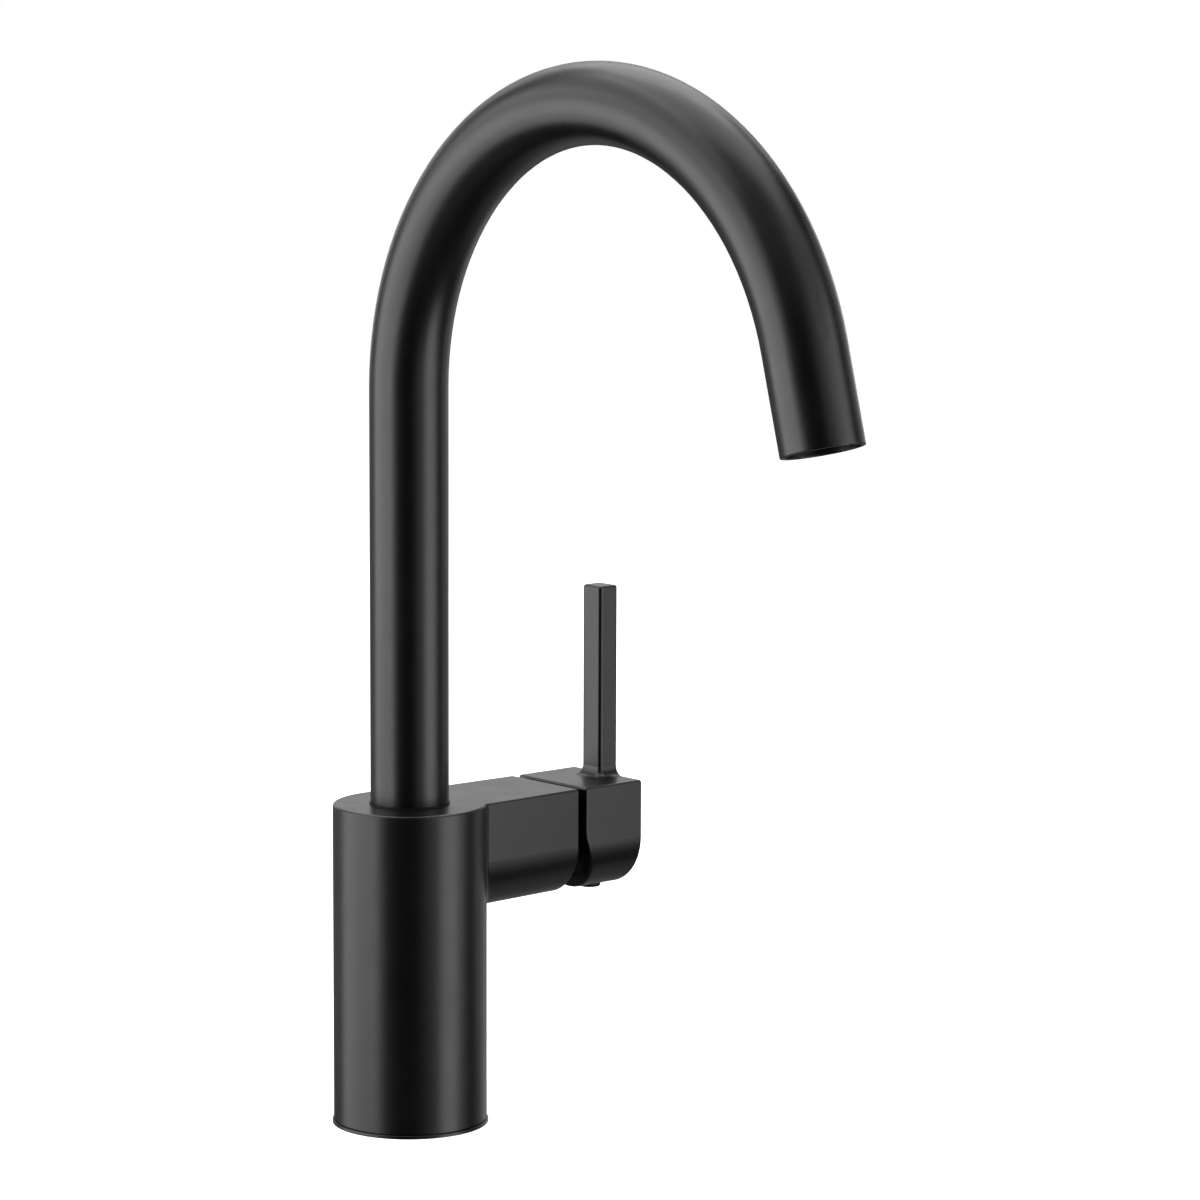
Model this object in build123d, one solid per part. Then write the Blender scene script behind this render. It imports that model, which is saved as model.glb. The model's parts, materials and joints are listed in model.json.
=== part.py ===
from build123d import *
import math
import os

# Millimetres. The deck surface is z = 0, the spout points to -Y and the handle to +X.

# Spout tube, bent from one length
tube_radius = 14.0
tube_wall = 1.5
riser_height = 148.5
arc_radius = 102.0
arc_sweep = 164.8
tail_length = 33.8
tube_lip_round = 0.4

# Body casting with its side arm
body_radius = 27.5
body_top = 116.0
body_cavity_radius = 22.0
body_cavity_top = 52.0
body_bore_step = 2.0
arm_half_width = 19.0
arm_height = 40.25
arm_end = 63.5
arm_draft = 0.9
edge_round = 1.0
arm_end_round = 0.4
arm_junction_round = 3.0

# Base ring and its gasket
ring_radius = 28.0
ring_height = 1.2
ring_round = 0.4
shadow_gap = 0.4
shadow_depth = 0.85
ring_lip_height = 3.1
gasket_inner_radius = 19.0
gasket_width = 6.5
gasket_thickness = 0.8

# Threaded shank and the clamp below the deck
shank_radius = 16.5
shank_wall = 3.0
shank_length = 62.0
shank_flange_height = 8.5
thread_pitch = 2.0
thread_depth = 0.8
thread_start = 12.0
deck_thickness = 30.0
clamp_radius = 29.0
friction_washer_thickness = 3.0
clamp_washer_thickness = 2.0
nut_across_flats = 46.0
nut_height = 9.0
jack_screw_radius = 2.5
jack_screw_head_radius = 4.0
jack_screw_head_height = 3.5
jack_screw_count = 2

# Water ways in the body
inlet_radius = 4.45
inlet_depth = 10.0
inlet_x = 3.0
inlet_spread = 8.0
way_radius = 3.0
inlet_floor = 1.0
riser_way_x = 21.0

# Spout swivel, measured down from the top of the body
socket_depth = 38.0
stub_shoulder = 1.0
stub_bore_radius = 8.0
stub_rise = 29.5
stub_drop = 26.0
bushing_wall = 1.4
bushing_flange_width = 1.4
bushing_flange_thickness = 0.5
upper_bushing_length = 10.0
lower_bushing_drop = 22.5
lower_bushing_length = 3.0
snap_ring_drop = 12.0
snap_ring_thickness = 1.4
snap_ring_bite = 0.6
snap_ring_opening = 40.0
o_ring_drops = (16.0, 19.5)
o_ring_cord_radius = 1.25

# Valve cartridge, lying along +X about the handle axis
pivot_x = 50.0
pocket_radius = 14.0
pocket_depth = 22.0
mouth_radius = 15.5
seal_thickness = 1.2
seal_proud = 0.4
seal_width = 1.0
seal_margin = 0.3
cartridge_base_thickness = 4.6
peg_radius = 1.2
peg_length = 1.8
peg_spread = 10.0
peg_drop = 4.0
disc_thickness = 3.0
fixed_disc_radius = 11.4
moving_disc_radius = 9.5
port_radius = 2.4
port_spread = 6.8
port_rise = 3.8
outlet_drop = 6.0
outlet_fall = 6.6
mixing_slot_spread = 8.0
mixing_slot_radius = 4.2
mixing_slot_drop = 2.7
mixing_slot_depth = 1.6
disc_rest_drop = 1.8
carrier_thickness = 4.0
carrier_radius = 9.0
rotor_flange_thickness = 2.65
rotor_neck_radius = 8.4
rotor_neck_reach = 6.0
rotor_window_height = 11.2
pivot_pin_radius = 1.5
retaining_nut_length = 8.0
retaining_nut_bore_radius = 8.8
spanner_slot_width = 3.0
spanner_slot_depth = 2.0
bonnet_radius = 13.2
bonnet_wall = 1.2
bonnet_reach = 3.5
bonnet_round = 0.5

# Lever: stem, block, bar and the screw that holds it
handle_gap = 3.45
block_length = 27.45
block_inner_round = 0.8
block_bore_radius = 15.0
block_bore_depth = 9.8
relief_rise = 3.35
relief_angle = 20.0
relief_blend = 12.0
bar_thickness = 8.65
bar_width = 10.0
bar_height = 70.8
bar_corner_round = 1.3
foot_flare = 3.7
stem_width = 6.0
stem_height = 7.0
stem_grip = 11.0
stem_neck_radius = 1.3
ball_radius = 2.0
ball_reach = 8.0
set_screw_radius = 2.5
set_screw_inset = 9.0
hex_key_size = 2.5
hex_key_depth = 2.5
plug_radius = 4.0
plug_proud = 1.0
plug_sunk = 2.0
plug_round = 0.5

# Aerator, measured inwards from the spout's tip
aerator_recess = 2.0
collar_wall = 1.15
collar_length = 13.5
collar_lid_thickness = 1.0
collar_lid_width = 2.3
insert_recess = 0.5
insert_wall = 1.55
insert_length = 11.0
insert_lip_width = 0.7
insert_lip_height = 0.8
key_notch_width = 2.6
key_notch_depth = 0.8
key_notch_count = 4
core_thickness = 3.0
cell_pitch = 2.4
cell_radius = 0.95
screen_thickness = 0.7
screen_pitch = 2.0
screen_hole_radius = 0.7
restrictor_thickness = 3.0
restrictor_hole_radius = 0.8
restrictor_circle_radius = 5.5
restrictor_hole_count = 10
aerator_gasket_width = 2.4

# Clearances
slip = 0.05
running = 0.05
free = 0.3
loose = 0.4
stem_play = 0.1
ball_play = 0.2
disc_play = 0.2
thread_play = 0.1

# How far a cut runs past the face it opens, and how near two places count as one
cut_over = 1.0
near = 0.01

# Places that follow from the sizes above
body_bottom = ring_height + shadow_gap
flange_bottom = body_bottom + ring_lip_height
flange_top = flange_bottom + shank_flange_height
body_bore_radius = body_cavity_radius + body_bore_step
handle_height = body_top - arm_height + arm_half_width
shank_bore_radius = shank_radius - shank_wall
tube_inner_radius = tube_radius - tube_wall
stub_radius = tube_inner_radius - stub_shoulder
bushing_inner_radius = stub_radius + running
bushing_outer_radius = bushing_inner_radius + bushing_wall
socket_radius = bushing_outer_radius + slip
tube_bottom = body_top + bushing_flange_thickness + running
pocket_back = pivot_x - pocket_depth
base_front = pocket_back + seal_proud + cartridge_base_thickness
fixed_disc_front = base_front + disc_thickness
moving_disc_back = fixed_disc_front + running
carrier_back = moving_disc_back + disc_thickness
housing_inner_radius = fixed_disc_radius + disc_play
rotor_flange_back = carrier_back + carrier_thickness + free
rotor_flange_front = rotor_flange_back + rotor_flange_thickness
shoulder_back = rotor_flange_front + running
bonnet_inner_radius = bonnet_radius - bonnet_wall
block_start = arm_end + handle_gap
block_end = block_start + block_length
bore_end = block_start + block_bore_depth
stem_end = bore_end + stem_grip
set_screw_x = block_end - set_screw_inset
block_bottom = handle_height - arm_half_width
clamp_top = -deck_thickness
clamp_mid = clamp_top - friction_washer_thickness
nut_top = clamp_mid - clamp_washer_thickness
nut_bottom = nut_top - nut_height
jack_screw_circle = (shank_radius + nut_across_flats / math.sqrt(3)) / 2


def rod_z(radius, low, high, x=0, y=0):
    """Upright cylinder between two heights."""
    return Pos(x, y, (low + high) / 2) * Cylinder(radius, high - low)


def ring_z(outer, inner, low, high):
    """Upright ring between two heights."""
    return rod_z(outer, low, high) - rod_z(inner, low, high)


def rod_x(radius, start, end, y=0, rise=0):
    """Cylinder along +X, placed from the handle axis."""
    return Pos((start + end) / 2, y, handle_height + rise) * Rot(0, 90, 0) * Cylinder(radius, end - start)


def ring_x(outer, inner, start, end, y=0, rise=0):
    """Ring along +X about the handle axis."""
    return rod_x(outer, start, end, y, rise) - rod_x(inner, start, end, y, rise)


def block_x(start, end, width, low, high):
    """Box along +X whose heights are measured from the handle axis."""
    centre = Pos((start + end) / 2, 0, handle_height + (low + high) / 2)
    return centre * Box(end - start, width, high - low)


def cross_rod(radius, length):
    """Cylinder along Y through the pivot of the lever."""
    return Pos(pivot_x, 0, handle_height) * Rot(90, 0, 0) * Cylinder(radius, length)


def rod_between(start, end, radius):
    """Cylinder from one point to another."""
    axis = Vector(*end) - Vector(*start)
    return extrude(Plane(origin=start, z_dir=axis) * Circle(radius), axis.length)


def arm_bar(start, end, draft=0):
    """Bar of the arm's section, half-round below, which grows from its end towards its start by the draft."""
    top = body_top - handle_height
    half = arm_half_width
    upper = Polyline((half, 0), (half, top), (-half, top), (-half, 0))
    bottom = ThreePointArc((-half, 0), (0, -half), (half, 0))
    place = Plane(origin=(end, 0, handle_height), x_dir=(0, -1, 0), z_dir=(-1, 0, 0))
    return extrude(place * make_face([upper, bottom]), end - start, taper=-draft)


def port_places():
    """Hot, cold and outlet ports as (y, rise) from the handle axis."""
    return [(port_spread, port_rise), (-port_spread, port_rise), (0, -outlet_drop)]


def peg_places():
    """Locating pegs of the cartridge as (y, rise) from the handle axis."""
    return [(peg_spread, -peg_drop), (-peg_spread, -peg_drop)]


# Body casting

def body_outside():
    """Upright cylinder and side arm with their edges rounded."""
    over_top = rod_z(2 * arm_end, body_top, body_top + arm_height)
    arm = arm_bar(0, arm_end, arm_draft) - over_top
    solid = rod_z(body_radius, body_bottom, body_top) + arm
    solid = fillet([e for e in solid.edges() if is_junction(e)], arm_junction_round)
    top_face = solid.faces().sort_by(Axis.Z)[-1]
    solid = fillet([e for e in top_face.edges() if e.center().X < arm_end - near], edge_round)
    end_face = solid.faces().sort_by(Axis.X)[-1]
    return fillet(end_face.edges(), arm_end_round)


def is_junction(edge):
    """True for the edges where the arm leaves the cylinder."""
    points = [edge @ 0, edge @ 0.5, edge @ 1]
    on_cylinder = all(abs(math.hypot(p.X, p.Y) - body_radius) < near for p in points)
    beside_arm = edge.center().X > 0 and edge.center().Z > body_top - arm_height
    upright = edge.bounding_box().size.Z > arm_half_width / 2
    return on_cylinder and beside_arm and upright


def inlet_way(side):
    """Threaded inlet, its drilled gallery and the riser to the cartridge pocket, on one side."""
    y = side * inlet_spread
    gallery = body_cavity_top + inlet_depth + inlet_floor + way_radius
    port_height = handle_height + port_rise
    way = rod_z(inlet_radius, body_cavity_top, body_cavity_top + inlet_depth, inlet_x, y)
    way += rod_between((inlet_x, y, body_cavity_top), (inlet_x, y, gallery), way_radius)
    way += rod_between((inlet_x - way_radius, y, gallery), (riser_way_x + way_radius, y, gallery), way_radius)
    way += rod_between((riser_way_x, y, gallery), (riser_way_x, y, port_height + way_radius), way_radius)
    turn = (riser_way_x, side * port_spread, port_height)
    way += rod_between((riser_way_x, y, port_height), turn, way_radius)
    way += rod_x(way_radius, riser_way_x, pocket_back + cut_over, side * port_spread, port_rise)
    return way


def outlet_way():
    """Sloping way from the cartridge outlet down to the floor of the spout socket."""
    start = (pocket_back + way_radius, 0, handle_height - outlet_drop)
    return rod_between(start, (0, 0, handle_height - outlet_drop - outlet_fall), way_radius)


def make_body_casting():
    solid = body_outside()
    solid -= rod_z(body_bore_radius, body_bottom, flange_top)
    solid -= rod_z(body_cavity_radius, flange_top, body_cavity_top)
    solid -= rod_z(socket_radius, body_top - socket_depth, body_top)
    groove = body_top - snap_ring_drop
    half = snap_ring_thickness / 2 + running
    solid -= rod_z(socket_radius + snap_ring_bite + slip, groove - half, groove + half)
    solid -= rod_x(pocket_radius, pocket_back, arm_end)
    solid -= rod_x(mouth_radius, pivot_x, arm_end)
    for y, rise in peg_places():
        solid -= rod_x(peg_radius + slip, pocket_back - peg_length - slip, pocket_back, y, rise)
    for side in (1, -1):
        solid -= inlet_way(side)
    return solid - outlet_way()


# Base and deck clamp

def make_base_ring():
    ring = fillet(rod_z(ring_radius, 0, ring_height).edges().group_by(Axis.Z)[-1], ring_round)
    ring += rod_z(body_radius - shadow_depth, 0, body_bottom)
    ring += rod_z(body_bore_radius - slip, 0, flange_bottom)
    ring -= rod_z(shank_radius + loose, 0, flange_bottom)
    groove = ring_z(gasket_inner_radius + gasket_width, gasket_inner_radius, 0, gasket_thickness)
    return ring - groove


def make_base_gasket():
    inner = gasket_inner_radius + slip
    outer = gasket_inner_radius + gasket_width - slip
    return ring_z(outer, inner, 0, gasket_thickness)


def make_mounting_shank():
    """Flanged tube with ring-shaped thread crests along its lower length."""
    bottom = -shank_length
    crests = int((shank_length - thread_start) / thread_pitch)
    outline = [(shank_bore_radius, bottom), (shank_radius - thread_depth, bottom)]
    for index in range(crests):
        foot = bottom + index * thread_pitch
        outline.append((shank_radius, foot + thread_pitch / 2))
        outline.append((shank_radius - thread_depth, foot + thread_pitch))
    outline.append((shank_radius, bottom + crests * thread_pitch + thread_pitch / 2))
    outline.append((shank_radius, flange_bottom))
    outline.append((body_bore_radius - slip, flange_bottom))
    outline.append((body_bore_radius - slip, flange_top))
    outline.append((shank_bore_radius, flange_top))
    profile = make_face(Polyline(*outline, close=True))
    return revolve(Plane.XZ * profile, Axis.Z)


def make_deck_friction_washer():
    return ring_z(clamp_radius, shank_radius + slip, clamp_mid, clamp_top)


def make_clamp_washer():
    return ring_z(clamp_radius, shank_radius + slip, nut_top, clamp_mid)


def jack_screw_spots():
    """Places of the jack screws in the mounting nut."""
    return list(PolarLocations(jack_screw_circle, jack_screw_count))


def make_mounting_nut():
    hexagon = RegularPolygon(nut_across_flats / 2, 6, major_radius=False)
    nut = Pos(0, 0, nut_bottom) * extrude(hexagon, nut_height)
    nut -= rod_z(shank_radius + slip, nut_bottom, nut_top)
    for spot in jack_screw_spots():
        nut -= spot * rod_z(jack_screw_radius + slip, nut_bottom, nut_top)
    return nut


def make_jack_screw():
    """Hex-headed screw that tightens the clamp washer against the deck."""
    head_bottom = nut_bottom - jack_screw_head_height
    head = Pos(0, 0, head_bottom) * extrude(RegularPolygon(jack_screw_head_radius, 6), jack_screw_head_height)
    return head + rod_z(jack_screw_radius, nut_bottom, nut_top)


def make_jack_screws():
    return Compound(children=[spot * make_jack_screw() for spot in jack_screw_spots()])


# Spout swivel

def make_spout_upper_bushing():
    sleeve = rod_z(bushing_outer_radius, body_top - upper_bushing_length, body_top)
    flange_radius = socket_radius + bushing_flange_width
    flange = rod_z(flange_radius, body_top, body_top + bushing_flange_thickness)
    bore = rod_z(bushing_inner_radius, body_top - upper_bushing_length, body_top + bushing_flange_thickness)
    return sleeve + flange - bore


def make_spout_lower_bushing():
    top = body_top - lower_bushing_drop
    return ring_z(bushing_outer_radius, bushing_inner_radius, top - lower_bushing_length, top)


def make_spout_snap_ring():
    """Open ring in the groove of the socket that keeps the spout from lifting out."""
    centre = body_top - snap_ring_drop
    low = centre - snap_ring_thickness / 2
    high = centre + snap_ring_thickness / 2
    ring = ring_z(socket_radius + snap_ring_bite, stub_radius - snap_ring_bite, low, high)
    reach = 2 * socket_radius
    half = math.radians(snap_ring_opening / 2)
    wedge = make_face(Polyline(
        (0, 0),
        (reach * math.sin(half), reach * math.cos(half)),
        (-reach * math.sin(half), reach * math.cos(half)),
        close=True,
    ))
    return ring - Pos(0, 0, low) * extrude(wedge, snap_ring_thickness)


def o_ring_heights():
    return [body_top - drop for drop in o_ring_drops]


def o_ring_major_radius():
    return socket_radius - running - o_ring_cord_radius


def make_spout_stub():
    """Turned bar in the foot of the tube that turns in the bushings."""
    bottom = body_top - stub_drop
    solid = rod_z(tube_inner_radius - slip, tube_bottom, tube_bottom + stub_rise)
    solid += rod_z(stub_radius, bottom, tube_bottom)
    solid -= rod_z(stub_bore_radius, bottom, tube_bottom + stub_rise)
    groove_radius = o_ring_major_radius() - o_ring_cord_radius - slip
    half = o_ring_cord_radius + free
    for height in o_ring_heights():
        solid -= ring_z(stub_radius, groove_radius, height - half, height + half)
    snap = body_top - snap_ring_drop
    half = snap_ring_thickness / 2 + free
    snap_radius = stub_radius - snap_ring_bite - loose
    return solid - ring_z(stub_radius, snap_radius, snap - half, snap + half)


def make_spout_o_rings():
    ring = Torus(o_ring_major_radius(), o_ring_cord_radius)
    return Compound(children=[Pos(0, 0, height) * ring for height in o_ring_heights()])


# Spout tube and aerator

def spout_path():
    """Centre line of the tube: straight riser, long arc and a short straight tail."""
    arc_start = (0, 0, body_top + riser_height)
    riser = Line((0, 0, tube_bottom), arc_start)
    side = Plane(origin=(0, 0, 0), x_dir=(0, -1, 0), z_dir=(-1, 0, 0))
    arc = side * CenterArc((arc_radius, body_top + riser_height), arc_radius, 180, -arc_sweep)
    tail = Line(arc @ 1, arc @ 1 + (arc % 1) * tail_length)
    return Wire([riser, arc, tail])


def make_spout_tube():
    path = spout_path()
    place = Plane(origin=(0, 0, tube_bottom), z_dir=(0, 0, 1))
    outer = sweep(place * Circle(tube_radius), path)
    inner = sweep(place * Circle(tube_inner_radius), path)
    tube = outer - inner
    tip = path @ 1
    circles = tube.edges().filter_by(GeomType.CIRCLE)
    rims = [e for e in circles if (e.arc_center - tip).length < tube_wall]
    return fillet(rims, tube_lip_round)


def tip_place():
    """Frame at the spout's tip with its Z axis pointing into the tube."""
    path = spout_path()
    return Plane(origin=path @ 1, x_dir=(1, 0, 0), z_dir=-(path % 1))


collar_inner_radius = tube_inner_radius - slip - collar_wall
collar_top = aerator_recess + collar_length
insert_start = aerator_recess + insert_recess
insert_radius = collar_inner_radius - slip
insert_inner_radius = insert_radius - insert_wall
core_start = insert_start + insert_lip_height
screen_start = core_start + core_thickness
restrictor_start = screen_start + screen_thickness
core_radius = insert_inner_radius - slip


def make_aerator_collar():
    collar = ring_z(tube_inner_radius - slip, collar_inner_radius, aerator_recess, collar_top)
    lid_inner = collar_inner_radius - collar_lid_width
    collar += ring_z(tube_inner_radius - slip, lid_inner, collar_top, collar_top + collar_lid_thickness)
    return tip_place() * collar


def make_aerator_housing():
    end = insert_start + insert_length
    shell = rod_z(insert_radius, insert_start, end)
    shell -= rod_z(insert_inner_radius, core_start, end)
    shell -= rod_z(insert_inner_radius - insert_lip_width, insert_start, core_start)
    notch_place = Pos(insert_radius, 0, insert_start + key_notch_depth / 2)
    notch = notch_place * Box(2 * insert_wall, key_notch_width, key_notch_depth)
    for spot in PolarLocations(0, key_notch_count):
        shell -= spot * notch
    return tip_place() * shell


def holed_disc(radius, low, high, pitch, hole_radius):
    """Disc with a honeycomb of round holes that stay inside its edge."""
    rows = int(2 * radius / pitch) + 1
    places = []
    for spot in HexLocations(pitch / 2, rows, rows, major_radius=False):
        if math.hypot(spot.position.X, spot.position.Y) + hole_radius + hole_radius / 2 < radius:
            places.append(spot)
    face = Circle(radius) - [spot * Circle(hole_radius) for spot in places]
    return Pos(0, 0, low) * extrude(face, high - low)


def make_aerator_core():
    return tip_place() * holed_disc(core_radius, core_start, screen_start, cell_pitch, cell_radius)


def make_aerator_screen():
    disc = holed_disc(core_radius, screen_start, restrictor_start, screen_pitch, screen_hole_radius)
    return tip_place() * disc


def make_flow_restrictor():
    disc = rod_z(core_radius, restrictor_start, restrictor_start + restrictor_thickness)
    for spot in PolarLocations(restrictor_circle_radius, restrictor_hole_count):
        hole = rod_z(restrictor_hole_radius, restrictor_start, restrictor_start + restrictor_thickness)
        disc -= spot * hole
    return tip_place() * disc


def make_aerator_gasket():
    low = insert_start + insert_length
    outer = collar_inner_radius - slip
    return tip_place() * ring_z(outer, outer - aerator_gasket_width, low, collar_top)


# Valve cartridge

def make_cartridge_seals():
    rings = []
    for y, rise in port_places():
        inner = port_radius + seal_margin
        rings.append(ring_x(inner + seal_width, inner, pocket_back, pocket_back + seal_thickness, y, rise))
    return Compound(children=rings)


def make_cartridge_base():
    back = pocket_back + seal_proud
    solid = rod_x(pocket_radius - thread_play, back, base_front)
    for y, rise in port_places():
        seat = port_radius + seal_margin + seal_width + slip
        solid -= rod_x(seat, back, pocket_back + seal_thickness, y, rise)
        solid -= rod_x(port_radius, back, base_front, y, rise)
    for y, rise in peg_places():
        solid += rod_x(peg_radius, pocket_back - peg_length, back, y, rise)
    return solid


def make_fixed_disc():
    disc = rod_x(fixed_disc_radius, base_front, fixed_disc_front)
    for y, rise in port_places():
        disc -= rod_x(port_radius, base_front, fixed_disc_front, y, rise)
    return disc


def make_cartridge_housing():
    shell = rod_x(pocket_radius - thread_play, base_front, pivot_x)
    shell -= rod_x(housing_inner_radius, base_front, shoulder_back)
    return shell - rod_x(rotor_neck_radius + running, shoulder_back, pivot_x)


def make_retaining_nut():
    front = pivot_x + retaining_nut_length
    nut = ring_x(mouth_radius - thread_play, retaining_nut_bore_radius, pivot_x, front)
    slot = block_x(front - spanner_slot_depth, front, spanner_slot_width, -mouth_radius, mouth_radius)
    for turn in (0, 90):
        nut -= slot.rotate(Axis((0, 0, handle_height), (1, 0, 0)), turn)
    return nut


def make_bonnet():
    back = pivot_x + retaining_nut_length
    front = arm_end + bonnet_reach
    solid = rod_x(mouth_radius - thread_play, back, arm_end) + rod_x(bonnet_radius, arm_end, front)
    solid -= rod_x(bonnet_inner_radius, back, front)
    rims = solid.edges().group_by(Axis.X)[-1]
    return fillet(rims, bonnet_round)


# Parts that turn and slide in the cartridge

def make_temperature_rotor():
    """Flanged fork that turns about the handle axis and carries the pivot pin."""
    front = pivot_x + rotor_neck_reach
    solid = rod_x(housing_inner_radius - free, rotor_flange_back, rotor_flange_front)
    solid += rod_x(rotor_neck_radius, rotor_flange_front, front)
    width = stem_width + 2 * stem_play
    window = rotor_window_height / 2
    solid -= block_x(rotor_flange_back, rotor_flange_front, width, -window, window)
    solid -= block_x(rotor_flange_front, front, width, -rotor_neck_radius, rotor_neck_radius)
    return solid - cross_rod(pivot_pin_radius + slip / 2, 2 * rotor_neck_radius)


def make_pivot_pin():
    length = 2 * (rotor_neck_radius - loose)
    return cross_rod(pivot_pin_radius, length)


def make_moving_disc():
    front = moving_disc_back + disc_thickness
    disc = rod_x(moving_disc_radius, moving_disc_back, front, 0, -disc_rest_drop)
    centre = handle_height - disc_rest_drop - mixing_slot_drop
    place = Plane(origin=(moving_disc_back, 0, centre), x_dir=(0, 1, 0), z_dir=(1, 0, 0))
    slot = extrude(place * SlotCenterToCenter(mixing_slot_spread, 2 * mixing_slot_radius), mixing_slot_depth)
    return disc - slot


def make_disc_carrier():
    front = carrier_back + carrier_thickness
    solid = rod_x(carrier_radius, carrier_back, front, 0, -disc_rest_drop)
    half = ball_radius + ball_play
    back = pivot_x - ball_reach - half
    return solid - block_x(back, front, 2 * half, -half, half)


# Lever

def make_stem():
    """Square bar with a neck and a ball that drives the disc carrier."""
    half = stem_height / 2
    square_start = pivot_x - half
    solid = block_x(square_start, stem_end, stem_width, -half, half)
    solid += rod_x(stem_neck_radius, pivot_x - ball_reach, square_start)
    solid += Pos(pivot_x - ball_reach, 0, handle_height) * Sphere(ball_radius)
    return solid - cross_rod(pivot_pin_radius + running, stem_width)


def relief_cut():
    """Wedge cut away from the block's inner face so that the lever can tilt."""
    lean = math.tan(math.radians(relief_angle))
    top = handle_height + relief_rise
    low = block_bottom - cut_over
    foot = block_start + (top - low) * lean
    back = block_start - cut_over
    outline = Polyline((back, top + relief_blend), (block_start, top + relief_blend), (block_start, top),
                       (foot, low), (back, low), close=True)
    wedge = make_face(Plane.XZ * outline)
    return extrude(wedge, arm_half_width + cut_over, both=True)


def lever_bar():
    """Upright bar, flush with the block's outer end and rounded on its inner corners."""
    centre = block_end - bar_thickness / 2
    base = Pos(centre, 0) * Rectangle(bar_thickness, bar_width)
    base = fillet(base.vertices().group_by(Axis.X)[0], bar_corner_round)
    return Pos(0, 0, body_top) * extrude(base, bar_height)


def is_relief_edge(edge):
    """True for the crease where the relief leaves the block's inner face."""
    place = edge.center() - Vector(block_start, 0, handle_height + relief_rise)
    return place.length < near and edge.bounding_box().size.Y > arm_half_width


def is_foot_edge(edge):
    """True for the edges where the bar's sides and inner face leave the block's top."""
    box = edge.bounding_box()
    level = abs(box.min.Z - body_top) < near and box.size.Z < near
    inside = block_end - bar_thickness - near < box.min.X and abs(edge.center().Y) < bar_width / 2 + near
    return level and inside and edge.center().X < block_end - near


def is_outer_edge(edge):
    """True for the rim of the outer end, the bar's top rim and the block's long top edges."""
    box = edge.bounding_box()
    on_end = box.min.X > block_end - near
    on_bar_top = box.min.Z > body_top + bar_height - near
    long_top = abs(box.min.Z - body_top) < near and abs(abs(edge.center().Y) - arm_half_width) < near
    return on_end or on_bar_top or long_top


def lever_outside():
    """Block and bar in one casting with their edges rounded."""
    solid = arm_bar(block_start, block_end) - relief_cut() + lever_bar()
    solid = fillet([e for e in solid.edges() if is_relief_edge(e)], relief_blend)
    solid = fillet([e for e in solid.edges() if is_foot_edge(e)], foot_flare)
    solid = fillet([e for e in solid.edges() if is_outer_edge(e)], edge_round)
    inner_face = solid.faces().sort_by(Axis.X)[0]
    return fillet(inner_face.edges(), block_inner_round)


def make_lever_handle():
    solid = lever_outside()
    solid -= rod_x(block_bore_radius, block_start, bore_end)
    socket_half = stem_height / 2 + slip
    solid -= block_x(bore_end, stem_end, stem_width + 2 * slip, -socket_half, socket_half)
    solid -= rod_z(set_screw_radius + slip, block_bottom, handle_height, set_screw_x)
    return solid - rod_z(plug_radius + slip, block_bottom - cut_over, block_bottom + plug_sunk, set_screw_x)


def make_set_screw():
    low = block_bottom + plug_sunk
    high = handle_height - stem_height / 2
    screw = rod_z(set_screw_radius, low, high, set_screw_x)
    hexagon = RegularPolygon(hex_key_size / 2, 6, major_radius=False)
    return screw - Pos(set_screw_x, 0, low) * extrude(hexagon, hex_key_depth)


def make_plug_button():
    plug = rod_z(plug_radius, block_bottom - plug_proud, block_bottom + plug_sunk, set_screw_x)
    return fillet(plug.edges().group_by(Axis.Z)[0], plug_round)


makers = {
    "body_casting": make_body_casting,
    "base_ring": make_base_ring,
    "base_gasket": make_base_gasket,
    "mounting_shank": make_mounting_shank,
    "deck_friction_washer": make_deck_friction_washer,
    "clamp_washer": make_clamp_washer,
    "mounting_nut": make_mounting_nut,
    "jack_screws": make_jack_screws,
    "spout_upper_bushing": make_spout_upper_bushing,
    "spout_lower_bushing": make_spout_lower_bushing,
    "spout_snap_ring": make_spout_snap_ring,
    "spout_tube": make_spout_tube,
    "spout_stub": make_spout_stub,
    "spout_o_rings": make_spout_o_rings,
    "aerator_collar": make_aerator_collar,
    "aerator_housing": make_aerator_housing,
    "aerator_core": make_aerator_core,
    "aerator_screen": make_aerator_screen,
    "flow_restrictor": make_flow_restrictor,
    "aerator_gasket": make_aerator_gasket,
    "cartridge_seals": make_cartridge_seals,
    "cartridge_base": make_cartridge_base,
    "fixed_disc": make_fixed_disc,
    "cartridge_housing": make_cartridge_housing,
    "retaining_nut": make_retaining_nut,
    "bonnet": make_bonnet,
    "temperature_rotor": make_temperature_rotor,
    "pivot_pin": make_pivot_pin,
    "moving_disc": make_moving_disc,
    "disc_carrier": make_disc_carrier,
    "stem": make_stem,
    "lever_handle": make_lever_handle,
    "set_screw": make_set_screw,
    "plug_button": make_plug_button,
}

os.makedirs("parts", exist_ok=True)
for node, make in makers.items():
    export_step(make(), f"parts/{node}.step")
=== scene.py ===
import json
import math

import bpy
from mathutils import Matrix, Vector


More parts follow.
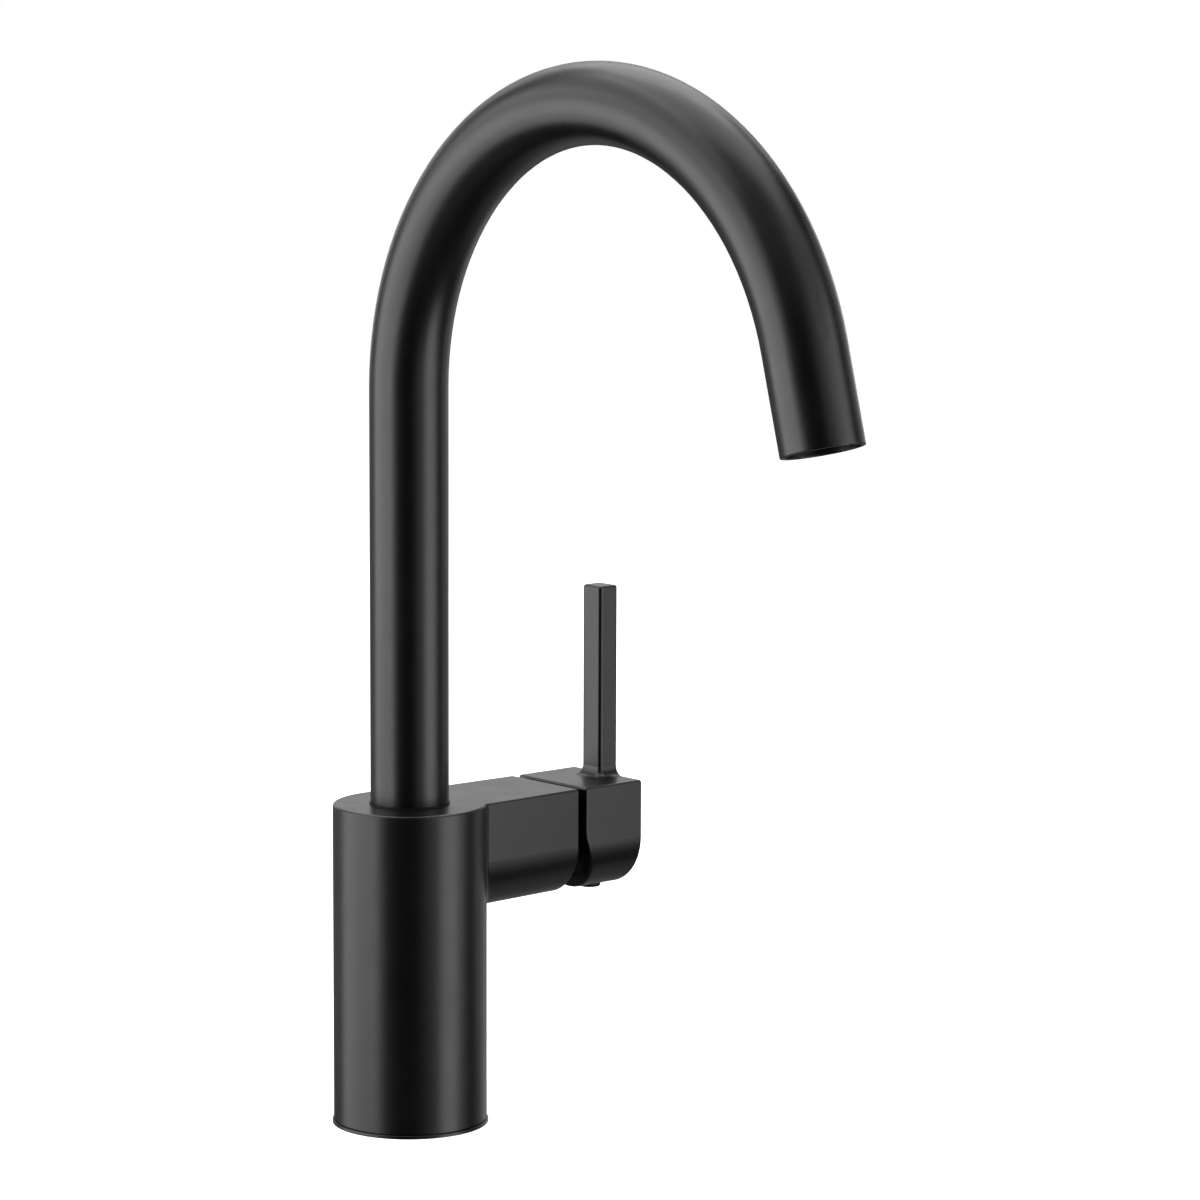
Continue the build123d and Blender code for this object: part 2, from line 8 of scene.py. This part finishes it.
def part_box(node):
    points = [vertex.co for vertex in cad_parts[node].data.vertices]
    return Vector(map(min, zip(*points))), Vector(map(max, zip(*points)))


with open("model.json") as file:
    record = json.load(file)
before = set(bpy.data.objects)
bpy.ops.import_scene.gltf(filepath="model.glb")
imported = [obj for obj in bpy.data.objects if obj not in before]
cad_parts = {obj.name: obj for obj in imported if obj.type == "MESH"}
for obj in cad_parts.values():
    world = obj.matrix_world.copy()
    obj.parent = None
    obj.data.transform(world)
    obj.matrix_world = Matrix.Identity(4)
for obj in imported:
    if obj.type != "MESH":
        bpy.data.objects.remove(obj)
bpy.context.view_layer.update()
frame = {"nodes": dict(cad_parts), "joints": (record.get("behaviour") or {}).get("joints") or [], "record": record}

# Camera, solved from the photograph's outlines: metres, degrees and millimetres of lens
CAMERA_PLACE = Vector((-0.99353, -1.23074, 0.40783))
CAMERA_TURN = -41.362
CAMERA_PITCH = 7.876
CAMERA_ROLL = 0.203
CAMERA_LENS = 135.04
CAMERA_SENSOR = 36.0
VIEW_DISTANCE = 200.0

# Lights: the point that every panel faces, in metres, and the glow of the room around them
LIGHT_CENTRE = Vector((0.0, -0.08, 0.22))
WHITE = (1.0, 1.0, 1.0)
ROOM_BRIGHTNESS = 0.01

# Floor: metres from the middle of the base, and the glow of its near and far parts
FLOOR_RADIUS = 60.0
FLOOR_SIDES = 96
FLOOR_NEAR = 0.3
FLOOR_FAR = 1.5
FLOOR_NEAR_GLOW = 0.8
FLOOR_FAR_GLOW = 1.0

# Bore of the lever's block, in metres along and round the handle's axis, with a little to spare
HANDLE_AXIS_HEIGHT = next(j["pos_m"][2] for j in frame["joints"] if j["name"] == "handle_temperature")
BORE_RADIUS = 0.0152
BORE_DEPTH = 0.0101
BORE_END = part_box("lever_handle")[0][0] + BORE_DEPTH
BORE_ROUGHNESS = 0.9

# Part of a noise value's range that most of its points lie in
NOISE_LOW = 0.3
NOISE_HIGH = 0.7


# Node helpers

def new_material(name):
    """Material with a Principled shader, as (material, nodes, links, shader)."""
    material = bpy.data.materials.new(name)
    material.use_nodes = True
    nodes = material.node_tree.nodes
    links = material.node_tree.links
    return material, nodes, links, nodes["Principled BSDF"]


def object_coordinates(nodes):
    return nodes.new("ShaderNodeTexCoord").outputs["Object"]


def noise(nodes, links, where, size, detail=2.0, stretch=(1.0, 1.0, 1.0)):
    """Noise whose features are about `size` metres across, and finer along an axis with a larger stretch."""
    mapping = nodes.new("ShaderNodeMapping")
    mapping.inputs["Scale"].default_value = stretch
    texture = nodes.new("ShaderNodeTexNoise")
    texture.inputs["Scale"].default_value = 1.0 / size
    texture.inputs["Detail"].default_value = detail
    links.new(where, mapping.inputs["Vector"])
    links.new(mapping.outputs["Vector"], texture.inputs["Vector"])
    return texture.outputs["Fac"]


def spread(nodes, links, value, low, high):
    """Maps the middle of a noise value onto low to high."""
    ramp = nodes.new("ShaderNodeMapRange")
    ramp.inputs["From Min"].default_value = NOISE_LOW
    ramp.inputs["From Max"].default_value = NOISE_HIGH
    ramp.inputs["To Min"].default_value = low
    ramp.inputs["To Max"].default_value = high
    links.new(value, ramp.inputs["Value"])
    return ramp.outputs["Result"]


def colours(nodes, links, value, dark, pale):
    """Blends two colours by a noise value."""
    ramp = nodes.new("ShaderNodeValToRGB")
    ramp.color_ramp.elements[0].position = NOISE_LOW
    ramp.color_ramp.elements[0].color = (*dark, 1.0)
    ramp.color_ramp.elements[1].position = NOISE_HIGH
    ramp.color_ramp.elements[1].color = (*pale, 1.0)
    links.new(value, ramp.inputs["Fac"])
    return ramp.outputs["Color"]


def below(nodes, links, value, limit):
    """One where the value is under the limit, and zero elsewhere."""
    node = nodes.new("ShaderNodeMath")
    node.operation = "LESS_THAN"
    node.inputs[1].default_value = limit
    links.new(value, node.inputs[0])
    return node.outputs["Value"]


def length(nodes, links, vector):
    node = nodes.new("ShaderNodeVectorMath")
    node.operation = "LENGTH"
    links.new(vector, node.inputs[0])
    return node.outputs["Value"]


def bump(nodes, links, height, distance):
    """Normal of a surface that the height raises by up to `distance` metres."""
    node = nodes.new("ShaderNodeBump")
    node.inputs["Distance"].default_value = distance
    node.inputs["Strength"].default_value = 1.0
    links.new(height, node.inputs["Height"])
    return node.outputs["Normal"]


# Materials

def coat(nodes, links, shader, where):
    """Almost black, finely grained coating; returns its roughness, which changes slowly."""
    grain = noise(nodes, links, where, size=0.00022, detail=3.0)
    cloud = noise(nodes, links, where, size=0.012, detail=3.0)
    tone = colours(nodes, links, grain, dark=(0.0006, 0.0006, 0.0007), pale=(0.0016, 0.0016, 0.0017))
    links.new(tone, shader.inputs["Base Color"])
    links.new(bump(nodes, links, grain, distance=0.000007), shader.inputs["Normal"])
    return spread(nodes, links, cloud, low=0.31, high=0.35)


def black_coating():
    """Satin black coating."""
    material, nodes, links, shader = new_material("black_coating")
    links.new(coat(nodes, links, shader, object_coordinates(nodes)), shader.inputs["Roughness"])
    return material


def inside_bore(nodes, links, where):
    """One inside the bore of the lever's block, and zero elsewhere."""
    from_axis = nodes.new("ShaderNodeMapping")
    from_axis.inputs["Location"].default_value = (0.0, 0.0, -HANDLE_AXIS_HEIGHT)
    from_axis.inputs["Scale"].default_value = (0.0, 1.0, 1.0)
    links.new(where, from_axis.inputs["Vector"])
    radius = length(nodes, links, from_axis.outputs["Vector"])
    along = nodes.new("ShaderNodeSeparateXYZ")
    links.new(where, along.inputs["Vector"])
    both = nodes.new("ShaderNodeMath")
    both.operation = "MULTIPLY"
    links.new(below(nodes, links, radius, BORE_RADIUS), both.inputs[0])
    links.new(below(nodes, links, along.outputs["X"], BORE_END), both.inputs[1])
    return both.outputs["Value"]


def lever_coating():
    """The same coating, dull inside the bore of the lever's block."""
    material, nodes, links, shader = new_material("lever_coating")
    where = object_coordinates(nodes)
    dulled = nodes.new("ShaderNodeMapRange")
    dulled.inputs["To Max"].default_value = BORE_ROUGHNESS
    links.new(inside_bore(nodes, links, where), dulled.inputs["Value"])
    links.new(coat(nodes, links, shader, where), dulled.inputs["To Min"])
    links.new(dulled.outputs["Result"], shader.inputs["Roughness"])
    return material


def black_plastic():
    """Moulded black plastic with a slight texture."""
    material, nodes, links, shader = new_material("black_plastic")
    where = object_coordinates(nodes)
    grain = noise(nodes, links, where, size=0.0004)
    tone = colours(nodes, links, grain, dark=(0.0012, 0.0012, 0.0012), pale=(0.0030, 0.0030, 0.0030))
    links.new(tone, shader.inputs["Base Color"])
    links.new(spread(nodes, links, grain, low=0.50, high=0.62), shader.inputs["Roughness"])
    links.new(bump(nodes, links, grain, distance=0.00001), shader.inputs["Normal"])
    shader.inputs["Specular IOR Level"].default_value = 0.25
    return material


def pale_plastic():
    """Off-white acetal, a little glossy."""
    material, nodes, links, shader = new_material("pale_plastic")
    where = object_coordinates(nodes)
    cloud = noise(nodes, links, where, size=0.002, detail=3.0)
    tone = colours(nodes, links, cloud, dark=(0.72, 0.71, 0.66), pale=(0.80, 0.79, 0.75))
    links.new(tone, shader.inputs["Base Color"])
    links.new(spread(nodes, links, cloud, low=0.32, high=0.42), shader.inputs["Roughness"])
    links.new(bump(nodes, links, cloud, distance=0.00001), shader.inputs["Normal"])
    return material


def turned_metal(name, dark, pale, low, high):
    """Machined metal: fine tool marks across its height, which change its tone and roughness."""
    material, nodes, links, shader = new_material(name)
    where = object_coordinates(nodes)
    marks = noise(nodes, links, where, size=0.0006, stretch=(1.0, 1.0, 8.0))
    links.new(colours(nodes, links, marks, dark, pale), shader.inputs["Base Color"])
    links.new(spread(nodes, links, marks, low, high), shader.inputs["Roughness"])
    links.new(bump(nodes, links, marks, distance=0.000008), shader.inputs["Normal"])
    shader.inputs["Metallic"].default_value = 1.0
    return material


def brass():
    return turned_metal("brass", dark=(0.58, 0.40, 0.15), pale=(0.74, 0.55, 0.26), low=0.24, high=0.38)


def steel():
    return turned_metal("steel", dark=(0.48, 0.48, 0.49), pale=(0.64, 0.64, 0.65), low=0.22, high=0.34)


def rubber():
    """Black rubber with a dull, fine texture."""
    material, nodes, links, shader = new_material("rubber")
    where = object_coordinates(nodes)
    grain = noise(nodes, links, where, size=0.0005, detail=3.0)
    tone = colours(nodes, links, grain, dark=(0.012, 0.012, 0.012), pale=(0.022, 0.022, 0.022))
    links.new(tone, shader.inputs["Base Color"])
    links.new(spread(nodes, links, grain, low=0.62, high=0.8), shader.inputs["Roughness"])
    links.new(bump(nodes, links, grain, distance=0.00002), shader.inputs["Normal"])
    return material


def valve_ceramic():
    """Lapped cream ceramic."""
    material, nodes, links, shader = new_material("valve_ceramic")
    where = object_coordinates(nodes)
    speckle = noise(nodes, links, where, size=0.0008, detail=3.0)
    tone = colours(nodes, links, speckle, dark=(0.78, 0.76, 0.70), pale=(0.86, 0.85, 0.80))
    links.new(tone, shader.inputs["Base Color"])
    links.new(spread(nodes, links, speckle, low=0.18, high=0.26), shader.inputs["Roughness"])
    links.new(bump(nodes, links, speckle, distance=0.000003), shader.inputs["Normal"])
    return material


def dress_nodes():
    """Gives every CAD node the material of its slot, and the lever its own."""
    materials = {
        "black_finish": black_coating(),
        "black_plastic": black_plastic(),
        "pale_plastic": pale_plastic(),
        "brass": brass(),
        "steel": steel(),
        "rubber": rubber(),
        "valve_ceramic": valve_ceramic(),
    }
    for part in frame["record"]["subparts"]:
        node = frame["nodes"][part["node"]]
        node.data.materials.clear()
        node.data.materials.append(materials[part["material_slot"]])
    frame["nodes"]["lever_handle"].data.materials[0] = lever_coating()


# Stage

def floor_material():
    """Pale floor that glows a little more with distance, so that it runs into the white room."""
    material, nodes, links, shader = new_material("pale_floor")
    where = object_coordinates(nodes)
    cloud = noise(nodes, links, where, size=0.5)
    tone = colours(nodes, links, cloud, dark=(0.80, 0.80, 0.80), pale=(0.82, 0.82, 0.82))
    links.new(tone, shader.inputs["Base Color"])
    shader.inputs["Roughness"].default_value = 0.9
    shader.inputs["Emission Color"].default_value = (*WHITE, 1.0)
    glow = nodes.new("ShaderNodeMapRange")
    glow.inputs["From Min"].default_value = FLOOR_NEAR
    glow.inputs["From Max"].default_value = FLOOR_FAR
    glow.inputs["To Min"].default_value = FLOOR_NEAR_GLOW
    glow.inputs["To Max"].default_value = FLOOR_FAR_GLOW
    links.new(length(nodes, links, where), glow.inputs["Value"])
    links.new(glow.outputs["Result"], shader.inputs["Emission Strength"])
    return material


def add_floor():
    """Wide floor at the deck level, which the coating doesn't mirror and the low panels shine through."""
    bpy.ops.mesh.primitive_circle_add(
        vertices=FLOOR_SIDES, radius=FLOOR_RADIUS, fill_type="NGON", location=(0, 0, 0))
    floor = bpy.context.object
    floor.name = "floor"
    floor.data.materials.append(floor_material())
    floor.visible_glossy = False
    floor.visible_diffuse = False
    floor.visible_shadow = False


def camera_axes():
    """Right, up and forward directions of the camera."""
    turn = math.radians(CAMERA_TURN)
    pitch = math.radians(CAMERA_PITCH)
    roll = math.radians(CAMERA_ROLL)
    forward = Vector((-math.sin(turn) * math.cos(pitch), math.cos(turn) * math.cos(pitch), -math.sin(pitch)))
    level = Vector((math.cos(turn), math.sin(turn), 0.0))
    upright = level.cross(forward)
    right = level * math.cos(roll) + upright * math.sin(roll)
    up = upright * math.cos(roll) - level * math.sin(roll)
    return right, up, forward


def add_camera():
    data = bpy.data.cameras.new("camera")
    data.lens = CAMERA_LENS
    data.sensor_width = CAMERA_SENSOR
    data.clip_end = VIEW_DISTANCE
    camera = bpy.data.objects.new("camera", data)
    bpy.context.scene.collection.objects.link(camera)
    right, up, forward = camera_axes()
    turn = Matrix((right, up, -forward)).transposed()
    camera.matrix_world = Matrix.Translation(CAMERA_PLACE) @ turn.to_4x4()
    bpy.context.scene.camera = camera


def direction_to(bearing, elevation):
    """Direction from the object, in degrees: bearing is 0 at the camera and negative to its left."""
    turn = math.radians(CAMERA_TURN)
    angle = math.radians(bearing)
    lift = math.radians(elevation)
    towards_camera = Vector((math.sin(turn), -math.cos(turn), 0.0))
    camera_right = Vector((math.cos(turn), math.sin(turn), 0.0))
    level = towards_camera * math.cos(angle) + camera_right * math.sin(angle)
    return level * math.cos(lift) + Vector((0, 0, math.sin(lift)))


def softbox(name, bearing, elevation, distance, size, radiance):
    """Soft panel that faces the object; size is (width, height), and radiance is 1 for white."""
    width, height = size
    direction = direction_to(bearing, elevation)
    data = bpy.data.lights.new(name, "AREA")
    data.shape = "RECTANGLE"
    data.size = width
    data.size_y = height
    data.energy = radiance * math.pi * width * height
    light = bpy.data.objects.new(name, data)
    bpy.context.scene.collection.objects.link(light)
    light.location = LIGHT_CENTRE + direction * distance
    light.rotation_euler = direction.to_track_quat("Z", "Y").to_euler()
    light.visible_camera = False


def add_left_lights():
    """The broad highlight down the left of every upright, and the fade at its edges."""
    softbox("left_panel", bearing=-83.0, elevation=-1.0, distance=1.3, size=(1.6, 0.6), radiance=3.35)
    softbox("left_low_panel", bearing=-83.0, elevation=-22.5, distance=1.3, size=(1.6, 0.36), radiance=2.2)
    softbox("left_high_panel", bearing=-90.0, elevation=22.0, distance=1.3, size=(1.6, 0.45), radiance=1.92)
    softbox("left_front_strip", bearing=-51.5, elevation=4.0, distance=1.3, size=(0.4, 1.4), radiance=1.35)
    softbox("left_back_panel", bearing=-135.0, elevation=5.0, distance=1.4, size=(1.0, 1.4), radiance=0.22)
    softbox("left_floor_panel", bearing=-60.0, elevation=-50.0, distance=1.3, size=(1.4, 1.0), radiance=0.12)
    softbox("upper_left_panel", bearing=-88.0, elevation=46.0, distance=1.4, size=(1.5, 0.9), radiance=1.58)


def add_top_and_back_lights():
    """The glow over the arc, on the level faces and along the far edges."""
    softbox("overhead_panel", bearing=180.0, elevation=80.0, distance=1.5, size=(2.0, 1.4), radiance=2.05)
    softbox("front_top_panel", bearing=0.0, elevation=50.0, distance=1.5, size=(1.4, 1.0), radiance=0.26)
    softbox("back_top_panel", bearing=180.0, elevation=52.0, distance=1.6, size=(1.1, 0.9), radiance=1.95)
    softbox("back_high_panel", bearing=180.0, elevation=32.0, distance=1.6, size=(1.9, 0.5), radiance=1.24)
    softbox("back_panel", bearing=180.0, elevation=8.0, distance=1.6, size=(2.3, 0.6), radiance=0.94)
    softbox("back_low_panel", bearing=180.0, elevation=-22.0, distance=1.6, size=(1.4, 0.9), radiance=0.12)
    softbox("back_floor_panel", bearing=165.0, elevation=-45.0, distance=1.4, size=(2.0, 1.2), radiance=0.2)


def add_right_lights():
    """The narrower highlight on the right of every upright, and the faces turned to the right."""
    softbox("right_strip", bearing=64.0, elevation=-8.0, distance=1.5, size=(0.75, 1.5), radiance=3.0)
    softbox("right_side_strip", bearing=84.0, elevation=4.0, distance=1.5, size=(0.45, 1.3), radiance=1.55)
    softbox("upper_right_panel", bearing=66.0, elevation=40.0, distance=1.5, size=(1.4, 1.0), radiance=0.83)
    softbox("right_front_panel", bearing=36.0, elevation=5.0, distance=1.5, size=(0.8, 1.6), radiance=0.5)
    softbox("right_back_panel", bearing=126.0, elevation=5.0, distance=1.5, size=(0.5, 1.4), radiance=0.62)
    softbox("right_rear_panel", bearing=152.0, elevation=-6.0, distance=1.6, size=(0.7, 1.1), radiance=0.53)


def add_floor_light():
    """A faint glow from below the floor."""
    softbox("floor_glow_panel", bearing=0.0, elevation=-75.0, distance=1.2, size=(2.4, 2.4), radiance=0.06)


def add_world():
    """White to the camera and almost dark to the object, which the panels light."""
    world = bpy.data.worlds.new("studio")
    bpy.context.scene.world = world
    world.use_nodes = True
    nodes = world.node_tree.nodes
    links = world.node_tree.links
    seen = nodes["Background"]
    seen.inputs["Color"].default_value = (*WHITE, 1.0)
    seen.inputs["Strength"].default_value = 1.0
    room = nodes.new("ShaderNodeBackground")
    room.inputs["Color"].default_value = (*WHITE, 1.0)
    room.inputs["Strength"].default_value = ROOM_BRIGHTNESS
    mix = nodes.new("ShaderNodeMixShader")
    links.new(nodes.new("ShaderNodeLightPath").outputs["Is Camera Ray"], mix.inputs["Fac"])
    links.new(room.outputs["Background"], mix.inputs[1])
    links.new(seen.outputs["Background"], mix.inputs[2])
    links.new(mix.outputs["Shader"], nodes["World Output"].inputs["Surface"])


dress_nodes()
add_floor()
add_camera()
add_left_lights()
add_top_and_back_lights()
add_right_lights()
add_floor_light()
add_world()
bpy.context.scene.view_settings.view_transform = "Standard"
